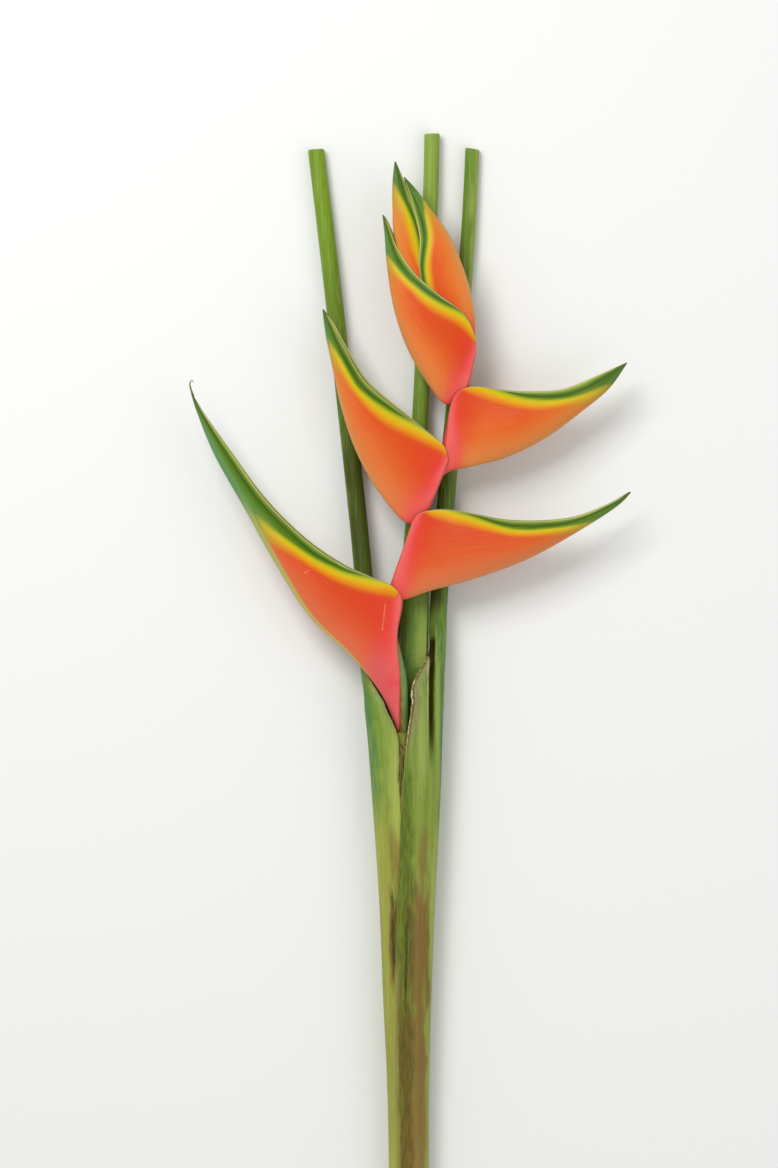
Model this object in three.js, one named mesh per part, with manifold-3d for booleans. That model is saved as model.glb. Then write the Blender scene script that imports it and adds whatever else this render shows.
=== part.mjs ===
// One cut stem of lobster claw heliconia, lying on its back.
// Millimetres, +Z up, +Y from the cut foot towards the ends of the leaf stalks.
import * as THREE from "three";
import { ParametricGeometry } from "three/addons/geometries/ParametricGeometry.js";
import { mergeVertices } from "three/addons/utils/BufferGeometryUtils.js";
import Module from "manifold-3d";

const wasm = await Module();
wasm.setup();

// ---------------------------------------------------------------------------------------------
// Sizes
// ---------------------------------------------------------------------------------------------
const FOOT_Y = -520; // the stem is cut off here
const GAP = 0.35; // clearance between neighbouring pieces
const BRACT_WALL = 1.6; // thickness of a bract's cheeks
const BRACT_FLOOR = 3; // thickness at its keel
const BELLY = 0.45; // a bract is widest at this share of its depth, counted from the keel
const STERN = 0.06; // share of a bract's length in which its base rounds off
const SHEATH_EDGE = 1.1; // thickness of a sheath at its margins
const HEAD_Z = 46; // height of the flower head's middle plane
const BUNDLE_Z = 27; // height of the stem's axis just below the flower head
const BUNDLE_SLOPE = 0.0237; // the stem's axis comes down by this much per millimetre towards the foot
const DIVE_FROM = -81; // the flower stalk rises out of the sheaths from here ...
const DIVE_TO = 65; // ... to here

// The flower stalk and its zigzag axis: x, y, radius.
const FLOWER_STALK = [
  [0, -531, 7.9],
  [-1, -337, 7.6],
  [-2, -261, 7.4],
  [-2, -126, 6.8],
  [-4, -81, 6.2],
  [-5, -45, 5.4],
  [-5, -9, 5],
  [-6, 22, 4.9],
  [-10, 44, 4.8],
  [-15, 66, 4.7],
  [-15, 86, 4.6],
  [-11, 106, 4.6],
  [-3, 132, 4.6],
  [4, 158, 4.6],
  [12, 182, 4.6],
  [22, 205, 4.5],
  [32, 228, 4.5],
  [37, 250, 4.4],
  [42, 275, 4.3],
  [50, 297, 4.2],
  [54, 318, 3.6],
  [50, 340, 2],
];

// Each bract is a folded boat, with one cheek above and one below. rise: how far the lower
// cheek's margin stands out past the upper one's. bow: how far the base curves in under the mouth.
// Stations from base to tip: keel x and y, margin x and y, half width of the belly, and the half
// width of the mouth as a share of the belly's.
const BRACTS = {
  bract_1: {
    rise: 1.5,
    bow: 5,
    stations: [
      [-8, -26, -5, 101, 7.8, 1.2],
      [-25, 14, -13, 113, 8.6, 1.1],
      [-51, 47, -34, 121, 11.5, 0.7],
      [-90, 84, -59, 131, 14.5, 0.42],
      [-123, 136, -93, 154, 14.5, 0.3],
      [-148, 181, -129.5, 190, 11.5, 0.3],
      [-175, 229, -162, 234, 8, 0.32],
      [-191, 270, -185, 269, 4.2, 0.4],
      [-198, 294, -197, 294, 0, 0.5],
    ],
  },
  bract_2: {
    rise: 0.8,
    bow: 0,
    stations: [
      [-17, 113, 1, 164, 7.4, 1.22],
      [-8, 99, 7, 177, 8.6, 1.1],
      [19, 107, 24, 182, 11.5, 0.7],
      [63, 119, 50, 179, 14.5, 0.42],
      [108, 136, 94, 171, 14, 0.3],
      [153, 161, 145, 173, 9.5, 0.3],
      [187, 183, 181, 186, 4.6, 0.4],
      [200, 196, 199, 197, 0, 0.5],
    ],
  },
  bract_3: {
    rise: 2.5,
    bow: 0,
    stations: [
      [17, 176, 36, 224, 7.4, 1.2],
      [-2, 168, 33, 239, 8.6, 1.1],
      [-28, 197, 12, 255, 11.5, 0.7],
      [-48, 233, -14, 274, 14, 0.42],
      [-61, 272, -40, 297, 12.5, 0.32],
      [-69, 308, -57, 325, 9, 0.32],
      [-75, 337, -69, 347, 5, 0.4],
      [-78, 361, -77, 361, 0, 0.5],
    ],
  },
  bract_4: {
    rise: 0.8,
    bow: 0,
    stations: [
      [29, 209, 36, 270, 7.4, 1.2],
      [38, 215, 42, 286, 8.6, 1.15],
      [62, 220, 57, 293, 11.5, 0.75],
      [90, 228, 82, 289, 14, 0.42],
      [124, 245, 108, 287, 13.5, 0.3],
      [155, 268, 139, 289, 10, 0.3],
      [180, 289, 170, 301, 5.5, 0.36],
      [197, 313, 196, 313, 0, 0.5],
    ],
  },
  bract_5: {
    rise: 2.5,
    bow: 0,
    stations: [
      [52, 281, 61, 323, 7.6, 1.3],
      [33, 275, 60, 337, 9.5, 1.35],
      [17, 293, 51, 357, 14, 1.07],
      [-2, 326, 28, 374, 16, 0.95],
      [-14, 362, 6, 393, 13.5, 0.85],
      [-20, 400, -9, 414, 8.5, 0.7],
      [-22, 427, -18, 434, 4.5, 0.6],
      [-24, 446, -23, 446, 0, 0.5],
    ],
  },
  bract_6: {
    rise: 1,
    bow: 0,
    stations: [
      [57, 314, 46, 320, 6, 1],
      [60, 343, 32, 343, 10, 0.9],
      [57, 370, 16, 370, 13, 0.7],
      [49, 398, 8, 398, 13, 0.62],
      [36, 428, 9, 424, 11, 0.6],
      [21, 449, 5, 446, 7.5, 0.55],
      [7, 468, 0, 465, 4, 0.5],
      [-4, 480, -5, 480, 0, 0.5],
    ],
  },
  bract_7: {
    rise: 1.5,
    bow: 0,
    stations: [
      [44, 332, 50, 340, 3, 0.8],
      [22, 352, 40, 364, 6, 0.7],
      [4, 376, 26, 386, 8, 0.6],
      [-8, 403, 15, 407, 9, 0.5],
      [-14, 430, 10, 430, 8.5, 0.42],
      [-15, 452, 5, 450, 6.5, 0.4],
      [-15, 474, -3, 472, 4, 0.4],
      [-13, 494, -12, 494, 0, 0.5],
    ],
  },
};
const BRACT_ROWS = 24; // rows of facets along a bract ...
const CAVITY_ROWS = [3, 21]; // ... and those its hollow begins and ends at

// Each leaf stalk is a sheath round the stem that closes into a round stalk. Stations from foot
// to end: y, centre x and z, half axes across and up, the angles its outside spans (0 along +X,
// 90 up), thickness, how far the open side is filled (0 open, 1 round), depth and angle of a dip.
const LEAF_STALKS = {
  leaf_stalk_right: [
    [-540, 0.5, 16.1, 17, 17, -118, 128, 3, 0, 0, 43],
    [-430, 0, 18.7, 17.8, 17.7, -118, 130, 3, 0, 0, 43],
    [-337, -0.7, 20.9, 19.1, 18.5, -116, 131, 3, 0, 0, 43],
    [-261, -1.5, 22.7, 21.9, 19, -114, 123, 3, 0, 0, 43],
    [-171, -1.8, 24.9, 25.2, 19.5, -112, 111, 3.2, 0, 0, 43],
    [-81, -2.9, 27, 30.4, 20, -108, 98, 4, 0, 0.3, 43],
    [-27, -4, 28.3, 33.3, 20, -100, 88, 6, 0, 1.5, 44],
    [9, -4.5, 28.5, 36, 19, -90, 80, 10, 0.1, 3.5, 48],
    [31, 14.3, 27, 18, 14, -85, 104, 10, 0.35, 3.5, 70],
    [50, 24.6, 25, 8.8, 9, -60, 150, 6, 0.8, 0, 90],
    [72, 26.1, 22.5, 7.9, 7.9, -60, 150, 5, 1, 0, 90],
    [103, 27.3, 20, 7.8, 7.8, -60, 150, 5, 1, 0, 90],
    [198, 34.2, 16.7, 8.1, 8.1, -60, 150, 5, 1, 0, 90],
    [393, 51, 9.8, 6.6, 6.6, -60, 150, 5, 1, 0, 90],
    [520, 58, 5.4, 6.3, 6.3, -60, 150, 5, 1, 0, 90],
  ],
  leaf_stalk_left: [
    [-540, 0.5, 16.1, 17, 15.7, 60, 300, 6, 0, 0, 180],
    [-430, 0, 18.7, 17.8, 16.4, 60, 300, 6, 0, 0, 180],
    [-337, -0.7, 20.9, 19.1, 17.2, 62, 300, 6, 0, 0, 180],
    [-261, -1.5, 22.7, 21.9, 17.7, 70, 300, 6, 0, 0, 180],
    [-171, -1.8, 24.9, 25.2, 18.2, 85, 295, 6, 0, 0, 180],
    [-81, -2.9, 27, 30.4, 18.7, 98, 290, 6, 0, 0, 180],
    [-27, -4, 28, 33.3, 18.7, 100, 280, 7, 0, 0, 180],
    [0, -15.7, 27.5, 24.3, 17.5, 104, 290, 9, 0.1, 0, 180],
    [14, -26.3, 26.5, 14.4, 13.5, 100, 320, 9, 0.25, 0, 180],
    [28, -32.2, 25, 10.4, 10.2, 119, 335, 7, 0.5, 0, 180],
    [42, -36, 23.5, 8.4, 8.6, 150, 345, 6, 0.85, 0, 180],
    [60, -37, 22, 8.4, 8.3, 150, 360, 5, 1, 0, 180],
    [153, -43.8, 18.9, 8.3, 8.3, 150, 360, 5, 1, 0, 180],
    [359, -66.4, 11.9, 7.9, 7.9, 150, 360, 5, 1, 0, 180],
    [520, -85.6, 6.6, 7.4, 7.4, 150, 360, 5, 1, 0, 180],
  ],
  leaf_stalk_middle: [
    [-540, 0.5, 16.1, 10.6, 10.6, 100, 440, 2.4, 0, 0, 270],
    [-430, 0, 18.7, 11.4, 11.2, 100, 440, 3, 0, 0, 270],
    [-337, -0.7, 20.9, 12.6, 12, 100, 440, 3.6, 0, 0, 270],
    [-261, -1.5, 22.7, 15.4, 12.2, 100, 440, 4, 0, 0, 270],
    [-171, -1.8, 24.7, 18.5, 12.6, 115, 425, 5, 0, 0, 270],
    [-81, -2.9, 26.5, 22, 13, 130, 410, 6, 0, 0, 270],
    [-27, -1, 26, 20, 13, 140, 400, 6, 0, 0, 270],
    [18, 1.8, 24, 15, 11, 150, 390, 6, 0.3, 0, 270],
    [63, 3, 21.5, 13.1, 9.5, 150, 390, 5, 0.7, 0, 270],
    [99, 3.6, 20.3, 13.2, 9, 150, 390, 5, 0.85, 0, 270],
    [160, 6, 18.7, 10, 8.2, 150, 390, 5, 1, 0, 270],
    [210, 8, 17.3, 8, 7.6, 150, 390, 5, 1, 0, 270],
    [286, 11.2, 15.3, 7.2, 7.2, 150, 390, 5, 1, 0, 270],
    [446, 18.9, 11, 7, 7, 150, 390, 5, 1, 0, 270],
    [530, 21, 8.7, 6.9, 6.9, 150, 390, 5, 1, 0, 270],
  ],
};
// The square cuts at the ends of the leaf stalks: x and y on the axis, and the lean in degrees.
const STALK_CUTS = {
  leaf_stalk_left: [-84, 506, 8.5],
  leaf_stalk_middle: [20.7, 520, -2],
  leaf_stalk_right: [57, 506, -3.5],
};

// ---------------------------------------------------------------------------------------------
// Tools
// ---------------------------------------------------------------------------------------------

// The row of numbers at t (0 to 1) along a list of rows, on a smooth curve through them all.
function rowAt(rows, t) {
  const last = rows.length - 1;
  const place = t * last;
  const i = Math.min(Math.floor(place), last - 1);
  const s = place - i;
  const before = rows[Math.max(i - 1, 0)];
  const after = rows[Math.min(i + 2, last)];
  return rows[i].map((a, c) => {
    const b = rows[i + 1][c];
    const leave = (b - before[c]) / 2;
    const arrive = (after[c] - a) / 2;
    return (
      a +
      s * leave +
      s * s * (3 * (b - a) - 2 * leave - arrive) +
      s * s * s * (2 * (a - b) + leave + arrive)
    );
  });
}

// Rises from 0 at t = 0 to 1 at t = end, like the front of a circle, and stays at 1.
function roundOff(t, end) {
  const rest = 1 - Math.min(Math.max(t / end, 0), 1);
  return Math.sqrt(1 - rest * rest);
}

// Height of the middle plane of the stem and flower head at y.
function axisHeight(y) {
  const sink = BUNDLE_SLOPE * Math.min(0, y - DIVE_FROM);
  return BUNDLE_Z + sink + (HEAD_Z - BUNDLE_Z) * THREE.MathUtils.smoothstep(y, DIVE_FROM, DIVE_TO);
}

// A closed surface through rings of points. pointAt gives point i of the ring at t (0 to 1).
// One more ring at each end is asked for with closing set: it is drawn together, as an end cap.
function loft(pointAt, around, along) {
  const rows = along + 2;
  const place = (u, v, target) => {
    const row = Math.round(v * rows);
    const t = THREE.MathUtils.clamp((row - 1) / along, 0, 1);
    const i = Math.round(u * around) % around;
    target.copy(pointAt(i, t, row === 0 || row === rows));
  };
  return new ParametricGeometry(place, around, rows);
}

// A solid from a closed geometry, with every corner moved out by grow.
function toSolid(geometry, grow = 0) {
  const bare = new THREE.BufferGeometry();
  bare.setAttribute("position", geometry.getAttribute("position").clone());
  bare.setIndex(geometry.index.clone());
  const merged = mergeVertices(bare, 1e-4);
  let corners = [];
  for (let i = 0; i < merged.index.count; i += 3) {
    const [a, b, c] = [0, 1, 2].map((k) => merged.index.getX(i + k));
    if (a !== b && b !== c && c !== a) corners.push(a, b, c);
  }
  const build = () => {
    const vertProperties = new Float32Array(merged.getAttribute("position").array);
    const triVerts = new Uint32Array(corners);
    return new wasm.Manifold(new wasm.Mesh({ numProp: 3, vertProperties, triVerts }));
  };
  const made = build();
  if (made.volume() > 0 && grow === 0) return made;
  if (made.volume() < 0) corners = corners.reverse();
  merged.setIndex(corners);
  merged.computeVertexNormals();
  const position = merged.getAttribute("position");
  const normal = merged.getAttribute("normal");
  for (let i = 0; i < position.count; i++) {
    const [x, y, z] = ["getX", "getY", "getZ"].map((get) => position[get](i) + grow * normal[get](i));
    position.setXYZ(i, x, y, z);
  }
  return build();
}

// The largest body of a solid: booleans can leave small scraps.
function mainBody(solid) {
  return solid.decompose().sort((a, b) => b.volume() - a.volume())[0];
}

// A solid half space: everything past a plane, as a large box. It lies on the side of the
// plane through (x, y, z) that the direction points to.
function halfSpace(x, y, z, direction) {
  const box = new THREE.BoxGeometry(1400, 1400, 1400).translate(0, 700, 0);
  const turn = new THREE.Quaternion();
  turn.setFromUnitVectors(new THREE.Vector3(0, 1, 0), direction.clone().normalize());
  return toSolid(box.applyQuaternion(turn).translate(x, y, z));
}

function toMesh(name, solid, color, roughness) {
  const made = mainBody(solid).getMesh();
  const geometry = new THREE.BufferGeometry();
  geometry.setAttribute("position", new THREE.BufferAttribute(made.vertProperties, 3));
  geometry.setIndex(new THREE.BufferAttribute(made.triVerts, 1));
  const flat = geometry.toNonIndexed();
  flat.computeVertexNormals();
  const material = new THREE.MeshStandardMaterial({ color, roughness, metalness: 0 });
  const mesh = new THREE.Mesh(flat, material);
  mesh.name = name;
  return mesh;
}

// ---------------------------------------------------------------------------------------------
// Bracts
// ---------------------------------------------------------------------------------------------

// Half width of a bract at share q of its depth, from 0 at the keel to 1 at the margin.
function bractBreadth(q, belly, mouth) {
  if (q < BELLY) return belly * Math.sqrt(1 - (1 - q / BELLY) ** 2);
  return belly * (1 - (1 - mouth) * ((q - BELLY) / (1 - BELLY)) ** 2);
}

// A point of a bract: up from the keel by depth (millimetres), out from the middle plane by side.
function bractPoint(row, depth, side) {
  const [keelX, keelY, marginX, marginY] = row;
  const up = new THREE.Vector2(marginX - keelX, marginY - keelY).normalize();
  const y = keelY + up.y * depth;
  return new THREE.Vector3(keelX + up.x * depth, y, axisHeight(y) + side);
}

function bractDepth(row) {
  return Math.hypot(row[2] - row[0], row[3] - row[1]);
}

// How far a point near the base is pushed along the bract, to curve its end inwards.
function bowAt(bract, t, q) {
  const hollow = Math.sin(Math.PI * THREE.MathUtils.clamp((q - 0.4) / 0.6, 0, 1)) ** 2;
  return bract.bow * hollow * Math.max(0, 1 - t / 0.2) ** 2;
}

// Share of a bract's length at which a row lies: closer together where the base rounds off.
function bractRow(row) {
  return (row / BRACT_ROWS) ** 1.3;
}

// The outside of a bract, with its mouth closed.
function bractHull(bract) {
  const around = 15;
  const pointAt = (i, v) => {
    const t = bractRow(v * BRACT_ROWS);
    const row = rowAt(bract.stations, t);
    const across = (2 * i) / (around - 1) - 1; // -1 upper margin, 0 keel, 1 lower margin
    const q = Math.abs(across) ** 1.6;
    const belly = Math.max(row[4], 0) * roundOff(t, STERN);
    const side = bractBreadth(q, belly, row[5]);
    const grown = THREE.MathUtils.smoothstep(t, 0.1, 0.45) * Math.min(1, side / 2);
    const rise = across > 0 ? bract.rise * q * q * grown : 0;
    const point = bractPoint(row, bractDepth(row) * q + rise, -Math.sign(across) * side);
    point.x -= bowAt(bract, t, q);
    return point;
  };
  return loft(pointAt, around, BRACT_ROWS);
}

// The room inside a bract, standing out of its mouth.
function bractRoom(bract) {
  const around = 9;
  const [first, last] = CAVITY_ROWS;
  const pointAt = (i, v) => {
    const row = rowAt(bract.stations, bractRow(first + (last - first) * v));
    const across = (2 * i) / (around - 1) - 1;
    const share = Math.abs(across) ** 1.6;
    const depth = bractDepth(row);
    const reach = BRACT_FLOOR + (depth + 6 - BRACT_FLOOR) * share;
    const outside = bractBreadth(Math.min(reach / depth, 1), row[4], row[5]);
    const ends = roundOff(v, 0.12) * Math.min(1, (1 - v) / 0.3) ** 0.7;
    const side = Math.max(outside - BRACT_WALL, 0.4) * Math.min(1, Math.sqrt(share / 0.1)) * ends;
    return bractPoint(row, reach, -Math.sign(across) * side);
  };
  return loft(pointAt, around, last - first);
}

// ---------------------------------------------------------------------------------------------
// Stalks
// ---------------------------------------------------------------------------------------------

function flowerStalk() {
  const around = 10;
  const pointAt = (i, t, closing) => {
    const [x, y, radius] = rowAt(FLOWER_STALK, t);
    const ahead = rowAt(FLOWER_STALK, Math.min(t + 0.01, 1));
    const behind = rowAt(FLOWER_STALK, Math.max(t - 0.01, 0));
    const level = (row) => new THREE.Vector3(row[0], row[1], axisHeight(row[1]));
    const along = level(ahead).sub(level(behind)).normalize();
    const sideways = new THREE.Vector3(along.y, -along.x, 0).normalize();
    const upward = new THREE.Vector3().crossVectors(sideways, along);
    const angle = (2 * Math.PI * i) / around;
    const r = closing ? 0 : radius;
    return new THREE.Vector3(x, y, axisHeight(y))
      .addScaledVector(sideways, r * Math.cos(angle))
      .addScaledVector(upward, r * Math.sin(angle));
  };
  return loft(pointAt, around, 2 * (FLOWER_STALK.length - 1));
}

function leafStalk(rows) {
  const steps = 9;
  const around = 2 * (steps + 1);
  const turn = THREE.MathUtils.degToRad;
  const pointAt = (i, t, closing) => {
    const [y, x, z, wide, high, from, to, thick, fill, dip, dipAt] = rowAt(rows, t);
    const outside = i <= steps;
    const share = outside ? i / steps : 1 - (i - steps - 1) / steps;
    const degrees = from + (to - from) * share;
    const wall = SHEATH_EDGE + (thick - SHEATH_EDGE) * Math.sin(Math.PI * share) ** 0.7;
    const notch = dip * Math.exp(-(((degrees - dipAt) / 13) ** 2));
    const at = (angle, inset) =>
      new THREE.Vector3(
        x + (wide - inset) * Math.cos(turn(angle)),
        y,
        z + (high - inset) * Math.sin(turn(angle)),
      );
    if (closing && fill < 0.5) return at(degrees, wall / 2);
    if (closing) return new THREE.Vector3(x, y, z);
    if (outside) return at(degrees, notch);
    const front = to + (from + 360 - to) * (1 - share);
    return at(degrees, wall).lerp(at(front, 0), THREE.MathUtils.clamp(fill, 0, 1));
  };
  return loft(pointAt, around, 2 * (rows.length - 1));
}

// ---------------------------------------------------------------------------------------------
// The whole stem
// ---------------------------------------------------------------------------------------------
const ground = halfSpace(0, 0, 0, new THREE.Vector3(0, 0, -1));
const belowFoot = halfSpace(0, FOOT_Y, 0, new THREE.Vector3(0, -1, 0));
const stem = new THREE.Group();
stem.name = "lobster_claw_heliconia";

// The room a neighbour leaves free for a piece.
function roomFor(hull) {
  return toSolid(hull, GAP).add(toSolid(hull));
}

const stalkHull = flowerStalk();
const stalkRoom = roomFor(stalkHull);
stem.add(toMesh("flower_stalk", toSolid(stalkHull).subtract(belowFoot), 0x93a04a, 0.5));

// A bract leaves room for the flower stalk and for the bracts that grow out of its mouth.
const bractNames = Object.keys(BRACTS);
const hulls = bractNames.map((name) => bractHull(BRACTS[name]));
bractNames.forEach((name, k) => {
  let solid = toSolid(hulls[k]).subtract(toSolid(bractRoom(BRACTS[name])));
  hulls.slice(k + 1, k + 3).forEach((next) => {
    solid = solid.subtract(roomFor(next));
  });
  stem.add(toMesh(name, solid.subtract(stalkRoom), 0xdc6a34, 0.42));
});

// A sheath leaves room for the sheaths outside it, the flower stalk and the lowest bract.
const rooms = [stalkRoom, roomFor(hulls[0])];
for (const [name, rows] of Object.entries(LEAF_STALKS)) {
  const hull = leafStalk(rows);
  let solid = toSolid(hull).subtract(ground).subtract(belowFoot);
  rooms.forEach((room) => {
    solid = solid.subtract(room);
  });
  const [x, y, lean] = STALK_CUTS[name];
  const outward = new THREE.Vector3(0, 1, 0);
  outward.applyAxisAngle(new THREE.Vector3(0, 0, 1), THREE.MathUtils.degToRad(lean));
  solid = solid.subtract(halfSpace(x, y, 0, outward));
  rooms.push(roomFor(hull));
  stem.add(toMesh(name, solid, 0x84a352, 0.45));
}

export default stem;
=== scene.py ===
# %% [markdown]
# # A cut stem of lobster claw heliconia
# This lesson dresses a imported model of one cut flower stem: a flower stalk, seven folded bracts
# and three leaf stalks whose sheaths wrap the stem. Each is built again here in the same place and
# size, with more faces, real edges and a finish of its own.

import math
from functools import partial

import bmesh
import bpy
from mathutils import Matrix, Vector, noise


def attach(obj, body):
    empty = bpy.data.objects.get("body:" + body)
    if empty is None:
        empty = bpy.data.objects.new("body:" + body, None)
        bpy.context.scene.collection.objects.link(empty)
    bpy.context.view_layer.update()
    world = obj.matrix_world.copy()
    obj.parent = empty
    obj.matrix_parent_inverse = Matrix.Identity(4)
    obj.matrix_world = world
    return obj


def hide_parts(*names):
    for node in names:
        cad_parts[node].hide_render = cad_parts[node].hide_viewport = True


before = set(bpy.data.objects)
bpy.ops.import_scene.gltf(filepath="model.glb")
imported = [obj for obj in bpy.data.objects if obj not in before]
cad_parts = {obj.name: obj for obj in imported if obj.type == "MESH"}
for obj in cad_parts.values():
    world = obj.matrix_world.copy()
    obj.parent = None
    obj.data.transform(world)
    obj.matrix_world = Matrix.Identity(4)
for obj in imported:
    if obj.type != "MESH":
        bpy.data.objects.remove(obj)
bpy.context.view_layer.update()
scene = bpy.context.scene
print("pieces of the model:", sorted(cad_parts))

# %% [markdown]
# ## Tools for smooth forms
# A plant has no straight edges, so its sizes are given as a few rows of numbers, from one end of
# a piece to the other, and a smooth curve runs through them. All sizes are in millimetres, and
# MM turns them into Blender's metres at the last moment.

# %% Smooth curves and blends
MM = 0.001


def row_at(rows, share):
    """The row of numbers at a share (0 to 1) along the rows, on a curve through them all."""
    last = len(rows) - 1
    i = min(int(share * last), last - 1)
    s = share * last - i
    before, start, end, after = (rows[min(max(i + k, 0), last)] for k in (-1, 0, 1, 2))
    row = []
    for p, a, b, n in zip(before, start, end, after):
        leave, arrive = (b - p) / 2, (n - a) / 2
        bend = s * s * (3 * (b - a) - 2 * leave - arrive)
        row.append(a + s * leave + bend + s**3 * (2 * (a - b) + leave + arrive))
    return row


def clamp(value, low=0.0, high=1.0):
    return min(max(value, low), high)


def smooth(value, start, end):
    """Rises softly from 0 at start to 1 at end."""
    s = clamp((value - start) / (end - start))
    return s * s * (3 - 2 * s)


def blend(a, b, share):
    return a + (b - a) * share


def round_off(share, end):
    """Rises from 0 like the front of a circle, and stays at 1 from end on."""
    rest = 1 - clamp(share / end)
    return math.sqrt(1 - rest * rest)


print("halfway between 0 and 10 lies", row_at([[0], [10]], 0.5)[0])

# %% [markdown]
# The stem lies on its back. Its middle plane is low at the foot and rises to the flower head, so
# every piece asks this function how high the plane is at its own place along the stem.

# %% Height of the middle plane
HEAD_Z = 46
BUNDLE_Z = 27
BUNDLE_SLOPE = 0.0237
DIVE = (-81, 65)


def axis_height(y):
    rise = (HEAD_Z - BUNDLE_Z) * smooth(y, *DIVE)
    return BUNDLE_Z + BUNDLE_SLOPE * min(0, y - DIVE[0]) + rise


print("the plane is", axis_height(-520), "mm high at the foot and", axis_height(100), "at the head")

# %% [markdown]
# ## One way to make every skin
# bmesh's create_grid makes a flat sheet of squares. A function then says where each corner goes,
# and corners that meet are merged, so the sheet closes into a tube or a boat. The function also
# hands back measures, such as the distance to an edge. They are kept on the corners, and the
# materials read them to paint colours that follow the piece.


# %% Sheets that are bent into shape
MERGE_WITHIN = 0.01  # corners nearer than this are one


def new_object(name, bm):
    """Puts what a bmesh holds into the scene."""
    mesh = bpy.data.meshes.new(name)
    bm.to_mesh(mesh)
    bm.free()
    piece = bpy.data.objects.new(name, mesh)
    scene.collection.objects.link(piece)
    return piece


def bent_sheet(name, across, along, *places):
    """A piece of closed skins: each place(u, v) gives a point in mm and a dictionary of measures."""
    bm = bmesh.new()
    for key in places[0](0.3, 0.3)[1]:
        bm.verts.layers.float.new(key)
    layers = bm.verts.layers.float
    for place in places:
        sheet = bmesh.ops.create_grid(bm, x_segments=across, y_segments=along, size=0.5)["verts"]
        for vert in sheet:
            point, measures = place(*(clamp(round(part + 0.5, 6)) for part in vert.co[:2]))
            vert.co = point * MM
            for key, value in measures.items():
                vert[layers[key]] = value
    bmesh.ops.remove_doubles(bm, verts=bm.verts, dist=MERGE_WITHIN * MM)
    bmesh.ops.recalc_face_normals(bm, faces=bm.faces)
    for face in bm.faces:
        face.smooth = True
    if "cut" in layers:
        sharpen_cuts(bm)
    open_edges = sum(edge.is_boundary for edge in bm.edges)
    piece = new_object(name, bm)
    print(name, "has", len(piece.data.polygons), "faces and", open_edges, "open edges")
    return piece


CUT_SHARPNESS = 0.2  # 0.35 and more keep a cut's edge sharp, 0 lets it round off


def sharpen_cuts(bm):
    """Gives the faces of a square cut the second material and creases the edges round them."""
    cut = bm.verts.layers.float["cut"]
    crease = bm.edges.layers.float.new("crease_edge")
    for face in bm.faces:
        if all(vert[cut] > 0.5 for vert in face.verts):
            face.material_index = 1
    for edge in bm.edges:
        if len({face.material_index for face in edge.link_faces}) == 2:
            edge[crease] = CUT_SHARPNESS


def finish_piece(piece, node, materials):
    """Smooths a piece, gives it its materials and, if it stands for a node, puts it in its place."""
    rounding = piece.modifiers.new("rounding", "SUBSURF")
    rounding.levels = rounding.render_levels = 1
    for material in materials:
        piece.data.materials.append(material)
    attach(piece, "root")
    if node:
        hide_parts(node)


# %% [markdown]
# ## The bracts
# A bract is a leaf folded along its keel into a narrow boat. Its two cheeks lie above and below
# the middle plane, and its mouth opens towards the end of the stem. Each row below is a station
# from the base to the tip: keel x and y, margin x and y, half width of the belly, and the half
# width of the mouth as a share of it. The last two numbers are the widths of the green and the
# yellow band along the margin. The lower bracts are the older ones, and rosier.

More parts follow.
